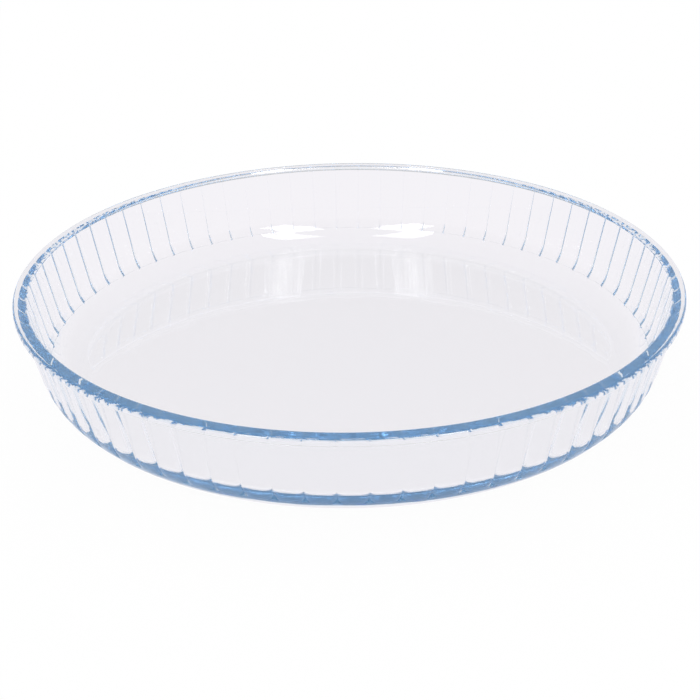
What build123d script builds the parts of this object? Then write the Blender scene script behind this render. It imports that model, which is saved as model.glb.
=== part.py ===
from build123d import *
from math import cos, radians, sin, tan
import os

# Round fluted pie dish, pressed in one piece of clear glass.
# The origin is the middle of the underside, the dish stands on Z = 0 and opens upwards.

# Whole dish
rim_diameter = 280
dish_height = 40.5
flute_count = 72

# Rim bead
rim_band_height = 3.2
rim_overhang = 2.2
rim_width = 5.75
rim_top_bevel = 0.9
rim_lower_bevel = 0.5

# Wall and heel, measured along the crests of the flutes
wall_taper = 13.7
heel_radius = 18.2
flute_depth = 0.75

# Lower end of the flutes: an angle round the heel, below the level of its centre
flute_end_angle = 35
flute_end_step = 0.25
groove_run_out = 1.6
heel_step_count = 2

# Inside: the wall turns into the floor round a tight arc and then a wide one, which meet at a slope
floor_thickness = 3.5
inner_wall_taper = 11.1
wall_corner_radius = 8
inner_corner_slope = 39.2
floor_corner_radius = 21.3

# Derived sizes
rim_radius = rim_diameter / 2
rim_underside = dish_height - rim_band_height
crest_radius = rim_radius - rim_overhang
taper = radians(wall_taper)
heel_centre_height = heel_radius
heel_centre_radius = (
    crest_radius
    - ((rim_underside - heel_centre_height) * sin(taper) + heel_radius) / cos(taper)
)
inner_rim_radius = rim_radius - rim_width
inner_taper = radians(inner_wall_taper)
corner_slope = radians(inner_corner_slope)
slope_height = floor_thickness + floor_corner_radius * (1 - sin(corner_slope))
inner_wall_height = slope_height + wall_corner_radius * (sin(corner_slope) - sin(inner_taper))
inner_wall_radius = inner_rim_radius - (dish_height - inner_wall_height) * tan(inner_taper)
slope_radius = inner_wall_radius - wall_corner_radius * (cos(inner_taper) - cos(corner_slope))
floor_radius = slope_radius - floor_corner_radius * cos(corner_slope)


def on_heel(angle):
    """Radius and height of the flutes' crests on the heel, at an angle below its centre."""
    turn = radians(angle)
    return heel_centre_radius + heel_radius * cos(turn), heel_centre_height - heel_radius * sin(turn)


def fluted_outline(outer_radius, level):
    """Level outline of the flutes: one outward arc each, meeting in sharp grooves."""
    pitch = 360 / flute_count
    groove_radius = outer_radius - flute_depth
    with BuildSketch(Plane.XY.offset(level)) as outline:
        with BuildLine():
            for flute in range(flute_count):
                middle = flute * pitch - 90
                start = Vector(groove_radius, 0).rotate(Axis.Z, middle - pitch / 2)
                crest = Vector(outer_radius, 0).rotate(Axis.Z, middle)
                end = Vector(groove_radius, 0).rotate(Axis.Z, middle + pitch / 2)
                ThreePointArc(start, crest, end)
        make_face()
    return outline.sketch


with BuildPart() as glass_dish:
    # Flutes round the upper part of the heel
    angle_step = (flute_end_angle - wall_taper) / heel_step_count
    heel_outlines = []
    for step in range(heel_step_count + 1):
        heel_outlines.append(fluted_outline(*on_heel(flute_end_angle - step * angle_step)))
    loft(heel_outlines)

    # Straight tapering flutes of the wall
    loft([heel_outlines[-1], fluted_outline(crest_radius, rim_underside)], ruled=True)

    # Flat underside and smooth lower heel, whose top slopes into the ends of the grooves
    end_radius, end_level = on_heel(flute_end_angle)
    foot_edge = (end_radius - flute_end_step, end_level)
    slope_top = (end_radius - flute_depth, end_level + groove_run_out)
    with BuildSketch(Plane.XZ):
        with BuildLine():
            Line((0, 0), (heel_centre_radius, 0))
            TangentArc((heel_centre_radius, 0), foot_edge, tangent=(1, 0))
            Polyline(foot_edge, slope_top, (0, slope_top[1]), (0, 0))
        make_face()
    revolve(axis=Axis.Z)

    # Smooth rim bead standing out over the flutes
    with BuildSketch(Plane.XZ) as bead:
        with Locations((floor_radius, rim_underside)):
            Rectangle(rim_radius - floor_radius, rim_band_height, align=Align.MIN)
        chamfer(bead.vertices().group_by(Axis.X)[-1].sort_by(Axis.Y)[-1], rim_top_bevel)
        chamfer(bead.vertices().group_by(Axis.X)[-1].sort_by(Axis.Y)[0], rim_lower_bevel)
    revolve(axis=Axis.Z)

    # Smooth inside
    with BuildSketch(Plane.XZ):
        with BuildLine():
            Line((0, floor_thickness), (floor_radius, floor_thickness))
            turn_in = TangentArc((floor_radius, floor_thickness), (slope_radius, slope_height), tangent=(1, 0))
            TangentArc((slope_radius, slope_height), (inner_wall_radius, inner_wall_height), tangent=turn_in % 1)
            Polyline(
                (inner_wall_radius, inner_wall_height),
                (inner_rim_radius, dish_height),
                (0, dish_height),
                (0, floor_thickness),
            )
        make_face()
    revolve(axis=Axis.Z, mode=Mode.SUBTRACT)

    # Softened inner edge of the rim
    mouth = glass_dish.faces().sort_by(Axis.Z)[-1].inner_wires()[0]
    chamfer(mouth.edges(), rim_top_bevel)

glass_dish.part.label = "glass_dish"

os.makedirs("parts", exist_ok=True)
export_step(glass_dish.part, "parts/glass_dish.step")
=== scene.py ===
from math import atan2, cos, hypot, pi, radians, sin, tan

import bmesh
import bpy
from mathutils import Matrix, Vector


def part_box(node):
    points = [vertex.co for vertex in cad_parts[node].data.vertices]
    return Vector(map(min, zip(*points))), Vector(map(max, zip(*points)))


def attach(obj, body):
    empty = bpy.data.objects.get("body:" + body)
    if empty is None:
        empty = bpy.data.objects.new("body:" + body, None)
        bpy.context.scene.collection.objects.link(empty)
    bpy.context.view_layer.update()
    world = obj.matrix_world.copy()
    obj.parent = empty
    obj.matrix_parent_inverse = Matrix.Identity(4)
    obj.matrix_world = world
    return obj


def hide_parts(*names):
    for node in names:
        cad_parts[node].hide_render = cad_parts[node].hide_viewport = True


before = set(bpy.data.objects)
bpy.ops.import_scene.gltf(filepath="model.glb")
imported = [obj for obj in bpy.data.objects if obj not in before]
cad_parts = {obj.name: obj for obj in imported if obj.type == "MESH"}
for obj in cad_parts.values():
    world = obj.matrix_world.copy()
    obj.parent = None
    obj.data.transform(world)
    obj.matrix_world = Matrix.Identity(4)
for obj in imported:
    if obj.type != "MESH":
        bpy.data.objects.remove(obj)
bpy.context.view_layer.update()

scene = bpy.context.scene
mm = 0.001

# The dish is one piece of clear borosilicate glass. A gob of glass is pressed between a fluted mould and a
# smooth plunger, so the flutes are on the outside only, and then its edges are fire-polished. It stands free.
low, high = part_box("glass_dish")
rim_radius = (high.x - low.x) / 2
dish_height = high.z
rim_width = 5.75 * mm
rim_band_height = 3.2 * mm
rim_overhang = 2.2 * mm
rim_top_round = 1.3 * mm
rim_lower_round = 0.8 * mm
wall_taper = radians(13.7)
heel_radius = 18.2 * mm
inner_wall_taper = radians(11.1)
wall_corner_height = 12.9 * mm
wall_corner_radius = 8 * mm
inner_slope_angle = radians(39.2)
floor_corner_radius = 21.3 * mm
floor_thickness = 3.5 * mm

rim_underside = dish_height - rim_band_height
crest_radius = rim_radius - rim_overhang
heel_corner_radius = crest_radius - rim_underside * tan(wall_taper)
inner_rim_radius = rim_radius - rim_width
wall_corner_out = inner_rim_radius - (dish_height - wall_corner_height) * tan(inner_wall_taper)
floor_corner_out = wall_corner_out - (wall_corner_height - floor_thickness) * tan(inner_slope_angle)

# Corners of the glass seen in section, from the middle of the floor over the rim to the middle of the base,
# each with the radius of its round and the steps in it
section_corners = {
    "floor_middle": (0, floor_thickness, 0, 0),
    "floor_corner": (floor_corner_out, floor_thickness, floor_corner_radius, 14),
    "wall_corner": (wall_corner_out, wall_corner_height, wall_corner_radius, 7),
    "rim_inside": (inner_rim_radius, dish_height, rim_top_round, 6),
    "rim_outside": (rim_radius, dish_height, rim_top_round, 6),
    "rim_lower": (rim_radius, rim_underside, rim_lower_round, 4),
    "wall_top": (crest_radius, rim_underside, 0, 0),
    "heel": (heel_corner_radius, 0, heel_radius, 20),
    "base_middle": (0, 0, 0, 0),
}
glass = bmesh.new()
names = list(section_corners)
places = {name: Vector((x, 0, z)) for name, (x, z, radius, steps) in section_corners.items()}
rows = {}
for name, (x, z, radius, steps) in section_corners.items():
    start = places[name]
    if radius:
        back_way = (places[names[names.index(name) - 1]] - start).normalized()
        on_way = (places[names[names.index(name) + 1]] - start).normalized()
        half = back_way.angle(on_way) / 2
        centre = start + (back_way + on_way).normalized() * radius / sin(half)
        start = start + back_way * radius / tan(half)
    glass.verts.new(start)
    if radius:
        bmesh.ops.spin(glass, geom=glass.verts[-1:], cent=centre, axis=on_way.cross(back_way),
                       angle=pi - 2 * half, steps=steps)
    glass.verts.ensure_lookup_table()
    rows[name] = glass.verts[-steps - 1:]
for first, second in zip(names, names[1:]):
    glass.edges.new((rows[first][-1], rows[second][0]))

# The flutes are broad and nearly flat, with narrow grooves between them that deepen towards the heel. They
# end part of the way round it, on a fine step down to the smooth foot.
flute_count = 72
groove_top_depth = 0.25 * mm
groove_end_depth = 1.3 * mm
groove_growth = 3
groove_sharpness = 5
flute_end_step = 0.12 * mm
end_row = 5
flute_end, below = rows["heel"][end_row:end_row + 2]
end_level = flute_end.co.z
for vert in rows["heel"][end_row + 1:]:
    vert.co.x -= flute_end_step * vert.co.z / end_level
ledge = glass.verts.new((flute_end.co.x - flute_end_step, 0, end_level))
glass.edges.remove(glass.edges.get((flute_end, below)))
glass.edges.new((flute_end, ledge))
glass.edges.new((ledge, below))
fluted = [vert.co.copy() for vert in [*rows["wall_top"], *rows["heel"][:end_row + 1]]]

# One flute: the section swept over its width. The steps of the sweep draw together towards the grooves, and
# every flute has a crest in its middle and half a groove on each side.
half_pitch = pi / flute_count
bmesh.ops.rotate(glass, verts=glass.verts, cent=(0, 0, 0), matrix=Matrix.Rotation(-half_pitch, 3, "Z"))
bmesh.ops.spin(glass, geom=glass.verts[:] + glass.edges[:], cent=(0, 0, 0), axis=(0, 0, 1),
               angle=2 * half_pitch, steps=16)
for vert in glass.verts:
    radius = hypot(vert.co.x, vert.co.y)
    share = sin(atan2(vert.co.y, vert.co.x) / half_pitch * pi / 2)
    if any(abs(radius - row.x) + abs(vert.co.z - row.z) < 0.01 * mm for row in fluted):
        fall = (rim_underside - vert.co.z) / (rim_underside - end_level)
        groove_depth = groove_top_depth + fall ** groove_growth * (groove_end_depth - groove_top_depth)
        radius -= groove_depth * abs(share) ** groove_sharpness
    vert.co = (radius * sin(share * half_pitch), -radius * cos(share * half_pitch), vert.co.z)

# Seventy-two flutes all round
bmesh.ops.spin(glass, geom=glass.verts[:] + glass.edges[:] + glass.faces[:], cent=(0, 0, 0), axis=(0, 0, 1),
               angle=2 * pi, steps=flute_count, use_duplicate=True)
bmesh.ops.remove_doubles(glass, verts=glass.verts, dist=0.01 * mm)
bmesh.ops.recalc_face_normals(glass, faces=glass.faces)
dish_mesh = bpy.data.meshes.new("pressed_glass_dish")
glass.to_mesh(dish_mesh)
glass.free()
dish_mesh.shade_smooth()
dish_mesh.set_sharp_from_angle(angle=radians(12))
dish = bpy.data.objects.new("pressed_glass_dish", dish_mesh)
scene.collection.objects.link(dish)


def linear(hex_colour):
    """An sRGB hex colour as linear red, green, blue and full alpha."""
    shares = [int(hex_colour[i:i + 2], 16) / 255 for i in (1, 3, 5)]
    return [s / 12.92 if s <= 0.04045 else ((s + 0.055) / 1.055) ** 2.4 for s in shares] + [1]


def add_node(tree, kind, settings={}, links={}):
    """A node of that kind, with its settings, and its inputs set to values or linked to other outputs."""
    node = tree.nodes.new(kind)
    for name, value in settings.items():
        setattr(node, name, value)
    for name, value in links.items():
        if isinstance(value, bpy.types.NodeSocket):
            tree.links.new(value, node.inputs[name])
        else:
            node.inputs[name].default_value = value
    return node


# Clear borosilicate glass, pressed and fire-polished: a hard gloss that is very slightly wavy, and a faint
# blue where it is seen edge on
clear_glass = bpy.data.materials.new("pressed_borosilicate_glass")
clear_glass.use_nodes = True
tree = clear_glass.node_tree
tree.nodes.clear()
place = add_node(tree, "ShaderNodeTexCoord")
waves = add_node(tree, "ShaderNodeTexNoise",
                 links={"Vector": place.outputs["Object"], "Scale": 70.0, "Detail": 1.0})
wavy = add_node(tree, "ShaderNodeBump", links={"Height": waves.outputs[0], "Distance": 0.03 * mm})
surface = add_node(tree, "ShaderNodeBsdfPrincipled", links={
    "Base Color": linear("#FFFFFF"), "Roughness": 0.0, "IOR": 1.473, "Transmission Weight": 1.0,
    "Normal": wavy.outputs[0]})
tint = add_node(tree, "ShaderNodeVolumeAbsorption", links={"Color": linear("#C8E2F3"), "Density": 12.0})
add_node(tree, "ShaderNodeOutputMaterial", links={"Surface": surface.outputs[0], "Volume": tint.outputs[0]})
dish.data.materials.append(clear_glass)
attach(dish, "root")
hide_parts("glass_dish")

# Plain white floor under the dish, pale enough to run into the background
floor_radius = 4
floor = bmesh.new()
bmesh.ops.create_circle(floor, cap_ends=True, segments=96, radius=floor_radius)
floor_mesh = bpy.data.meshes.new("floor")
floor.to_mesh(floor_mesh)
floor.free()
floor_object = bpy.data.objects.new("floor", floor_mesh)
floor_object.location.z = -0.2 * mm
scene.collection.objects.link(floor_object)
paper = bpy.data.materials.new("white_paper")
paper.use_nodes = True
tree = paper.node_tree
tree.nodes.clear()
light_path = add_node(tree, "ShaderNodeLightPath")
seen = add_node(tree, "ShaderNodeMath", {"operation": "MAXIMUM"},
                {0: light_path.outputs["Is Camera Ray"], 1: light_path.outputs["Is Glossy Ray"]})
seen = add_node(tree, "ShaderNodeMath", {"operation": "MAXIMUM"},
                {0: seen.outputs[0], 1: light_path.outputs["Is Transmission Ray"]})
part_seen = add_node(tree, "ShaderNodeMath", {"operation": "MULTIPLY"}, {0: seen.outputs[0], 1: 0.96})
paper_colour = add_node(tree, "ShaderNodeMix", {"data_type": "RGBA"},
                        {0: light_path.outputs["Is Camera Ray"], 6: linear("#F7F4F8"), 7: linear("#FFFFFF")})
matt = add_node(tree, "ShaderNodeBsdfDiffuse", links={"Color": paper_colour.outputs[2]})
glow = add_node(tree, "ShaderNodeEmission", links={"Color": paper_colour.outputs[2], "Strength": 1.0})
mixed = add_node(tree, "ShaderNodeMixShader",
                 links={0: part_seen.outputs[0], 1: matt.outputs[0], 2: glow.outputs[0]})
add_node(tree, "ShaderNodeOutputMaterial", links={"Surface": mixed.outputs[0]})
floor_mesh.materials.append(paper)

# Even white studio light all round. The studio that the glass reflects is dimmer overhead.
world = bpy.data.worlds.new("studio")
scene.world = world
world.use_nodes = True
tree = world.node_tree
tree.nodes.clear()
direction = add_node(tree, "ShaderNodeTexCoord")
split = add_node(tree, "ShaderNodeSeparateXYZ", links={0: direction.outputs["Generated"]})
dim = add_node(tree, "ShaderNodeMapRange", {"interpolation_type": "SMOOTHSTEP"},
               {"Value": split.outputs["Z"], "From Min": 0.0, "From Max": 0.5, "To Min": 0.95, "To Max": 0.6})
light_path = add_node(tree, "ShaderNodeLightPath")
full = add_node(tree, "ShaderNodeMath", {"operation": "MAXIMUM"},
                {0: light_path.outputs["Is Diffuse Ray"], 1: light_path.outputs["Is Camera Ray"]})
strength = add_node(tree, "ShaderNodeMix", {"data_type": "FLOAT"},
                    {0: full.outputs[0], 2: dim.outputs[0], 3: 1.0})
sky = add_node(tree, "ShaderNodeBackground",
               links={"Color": linear("#FFFFFF"), "Strength": strength.outputs[0]})
add_node(tree, "ShaderNodeOutputWorld", links={"Surface": sky.outputs[0]})

# Two tall soft boxes over the dish, left and right, which the fire-polished glass reflects
box_width = 0.36
box_height = 1.4
box_distance = 2
box_radiance = 5
for side in (-1, 1):
    towards = Vector((0.34 * side, -0.5, 0.82)).normalized()
    softbox_data = bpy.data.lights.new("softbox", "AREA")
    softbox_data.shape = "RECTANGLE"
    softbox_data.size = box_width
    softbox_data.size_y = box_height
    softbox_data.energy = box_radiance * pi * box_width * box_height
    softbox = bpy.data.objects.new("softbox", softbox_data)
    softbox.location = towards * box_distance
    softbox.rotation_euler = towards.to_track_quat("Z", "Y").to_euler()
    softbox.visible_diffuse = False
    scene.collection.objects.link(softbox)

# Camera in front of the dish and above it, as in the photograph
focal_px = 1381
frame_px = 700
origin_px = (350.1, 356.6)
distance = 4.32 * rim_radius
elevation = radians(27.18)
swing = radians(-0.23)
roll = radians(0.73)
back = Vector((sin(swing) * cos(elevation), -cos(swing) * cos(elevation), sin(elevation)))
right = Vector((cos(swing), sin(swing), 0))
up = back.cross(right)
rolled_right = right * cos(roll) - up * sin(roll)
rolled_up = right * sin(roll) + up * cos(roll)
camera_data = bpy.data.cameras.new("camera")
camera_data.sensor_width = 36
camera_data.lens = focal_px / frame_px * camera_data.sensor_width
camera_data.shift_x = (frame_px / 2 - origin_px[0]) / frame_px
camera_data.shift_y = (origin_px[1] - frame_px / 2) / frame_px
camera_data.clip_start = 0.01
camera = bpy.data.objects.new("camera", camera_data)
camera.matrix_world = Matrix((rolled_right, rolled_up, back)).transposed().to_4x4()
camera.location = back * distance
scene.collection.objects.link(camera)
scene.camera = camera

scene.view_settings.view_transform = "Standard"
scene.cycles.max_bounces = 256
scene.cycles.glossy_bounces = 256
scene.cycles.transmission_bounces = 256
